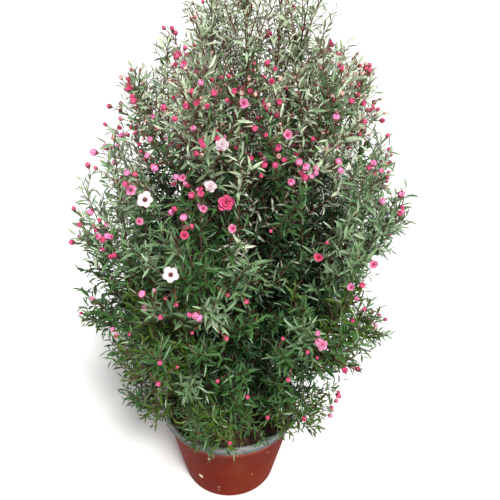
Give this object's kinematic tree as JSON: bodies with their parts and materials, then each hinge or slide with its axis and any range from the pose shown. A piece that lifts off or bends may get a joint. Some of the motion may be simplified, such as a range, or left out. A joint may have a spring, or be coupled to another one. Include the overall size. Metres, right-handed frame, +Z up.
{
  "type": "potted manuka shrub",
  "caption": "Bushy flowering manuka shrub with narrow leaves, round pink buds and open blossoms, growing on a short trunk in a squat plastic pot with a grey rim.",
  "frame": {"origin": "centre of the pot's flat underside", "axes": "+Z up along the pot's axis, -Y towards the side seen in the picture, +X to its right"},
  "size_m": [0.3443, 0.351, 0.5767],
  "materials": {
    "pot": "brick-red moulded plastic, scuffed, with a grey rim band",
    "potting_mix": "dark brown crumbly mix of bark and peat",
    "bark": "thin flaking grey-brown bark, redder on young stems",
    "foliage": "small stiff leaves, silvery green to yellow-green",
    "blossom": "soft petals, crimson, pink and white"
  },
  "bodies": {
    "root": {"pot": "pot", "potting_mix": "potting_mix", "trunk": "bark", "bough_top_1": "bark", "foliage_top_1": "foliage", "bough_top_2": "bark", "foliage_top_2": "foliage", "bough_top_3": "bark", "foliage_top_3": "foliage", "bough_top_4": "bark", "foliage_top_4": "foliage", "bough_top_5": "bark", "foliage_top_5": "foliage", "bough_upper_1": "bark", "foliage_upper_1": "foliage", "bough_upper_2": "bark", "foliage_upper_2": "foliage", "bough_upper_3": "bark", "foliage_upper_3": "foliage", "bough_upper_4": "bark", "foliage_upper_4": "foliage", "bough_upper_5": "bark", "foliage_upper_5": "foliage", "bough_upper_6": "bark", "foliage_upper_6": "foliage", "bough_middle_1": "bark", "foliage_middle_1": "foliage", "bough_middle_2": "bark", "foliage_middle_2": "foliage", "bough_middle_3": "bark", "foliage_middle_3": "foliage", "bough_middle_4": "bark", "foliage_middle_4": "foliage", "bough_middle_5": "bark", "foliage_middle_5": "foliage", "bough_middle_6": "bark", "foliage_middle_6": "foliage", "bough_middle_7": "bark", "foliage_middle_7": "foliage", "bough_lower_1": "bark", "foliage_lower_1": "foliage", "bough_lower_2": "bark", "foliage_lower_2": "foliage", "bough_lower_3": "bark", "foliage_lower_3": "foliage", "bough_lower_4": "bark", "foliage_lower_4": "foliage", "bough_lower_5": "bark", "foliage_lower_5": "foliage", "bough_lower_6": "bark", "foliage_lower_6": "foliage", "bough_lower_7": "bark", "foliage_lower_7": "foliage", "foliage_basal_1": "foliage", "foliage_basal_2": "foliage", "foliage_basal_3": "foliage", "foliage_basal_4": "foliage", "foliage_basal_5": "foliage", "foliage_basal_6": "foliage"}
  },
  "joints": []
}
